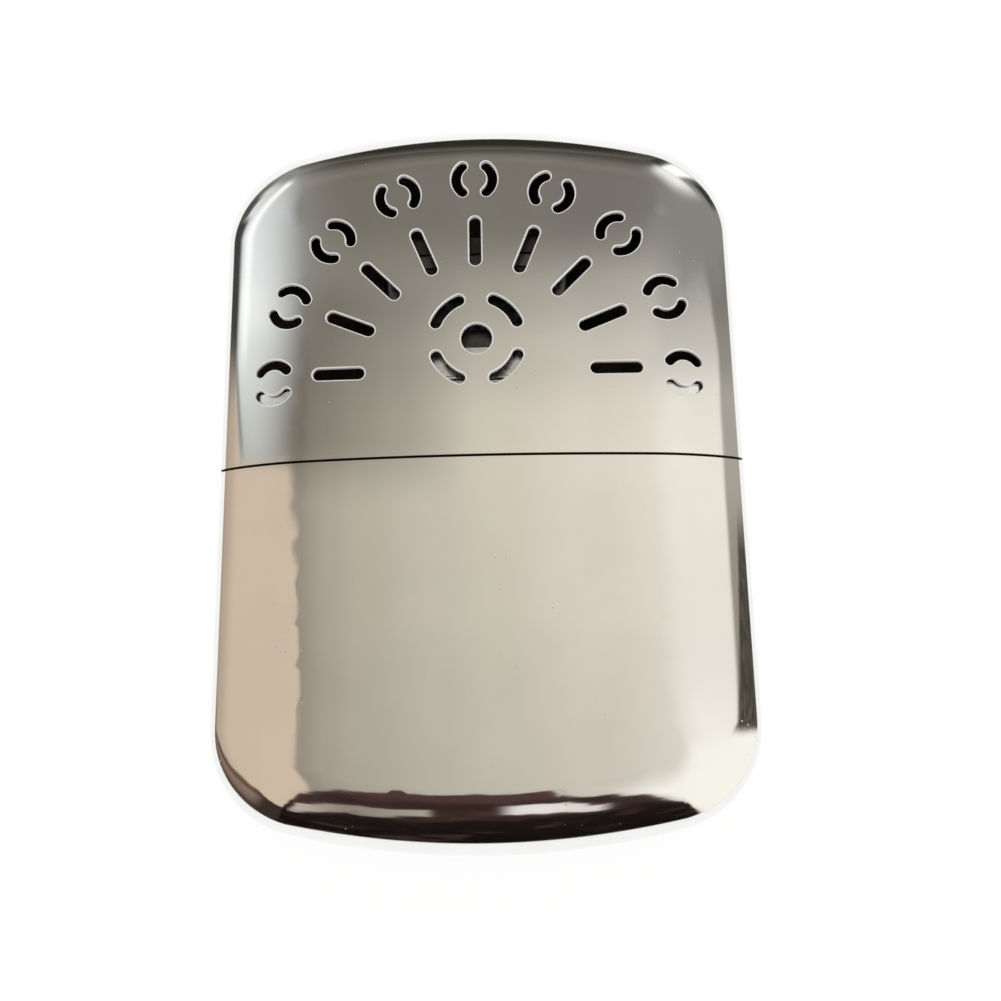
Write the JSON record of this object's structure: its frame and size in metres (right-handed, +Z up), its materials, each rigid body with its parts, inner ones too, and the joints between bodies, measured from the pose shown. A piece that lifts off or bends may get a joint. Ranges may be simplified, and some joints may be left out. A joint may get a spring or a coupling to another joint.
{
  "type": "catalytic hand warmer",
  "caption": "Flat pocket hand warmer: nickel-plated fuel tank, vented pull-off cap, and a slip-on catalytic burner on an oval filler neck",
  "frame": {"origin": "middle of the back face, on the surface that the warmer lies on", "axes": "+X across the case, +Y along the case from the tank to the cap, +Z up through the vented front"},
  "size_m": [0.068, 0.095, 0.013],
  "materials": {
    "case_nickel": "nickel plate with a fine hazy vertical polish",
    "drawn_steel": "bright drawn sheet",
    "neck_nickel": "bright plated sheet",
    "burner_steel": "bright pressed stainless sheet",
    "dark_steel": "heat-darkened wire and rivets",
    "spring_steel": "bright spring strip",
    "cotton": "white cotton",
    "glass_fibre": "grey glass-fibre mat"
  },
  "bodies": {
    "tank": {"tank_shell": "case_nickel", "tank_closure": "drawn_steel", "filler_neck": "neck_nickel", "neck_gauze": "dark_steel", "wick_felt": "cotton", "fuel_wadding": "cotton"},
    "burner": {"burner_skirt": "burner_steel", "burner_front": "burner_steel", "burner_back": "burner_steel", "burner_lid": "burner_steel", "mat_grid": "burner_steel", "catalyst_mat": "glass_fibre", "mesh_front": "dark_steel", "mesh_back": "dark_steel", "burner_rivets": "dark_steel", "grip_spring_left": "spring_steel", "grip_spring_right": "spring_steel"},
    "cap": {"cap_shell": "case_nickel"}
  },
  "joints": [
    {"name": "cap_slide", "type": "slide", "parent": "tank", "child": "cap", "axis": [0, 1, 0], "range_m": [0, 0.045]},
    {"name": "burner_slide", "type": "slide", "parent": "tank", "child": "burner", "axis": [0, 1, 0], "range_m": [0, 0.007]}
  ]
}
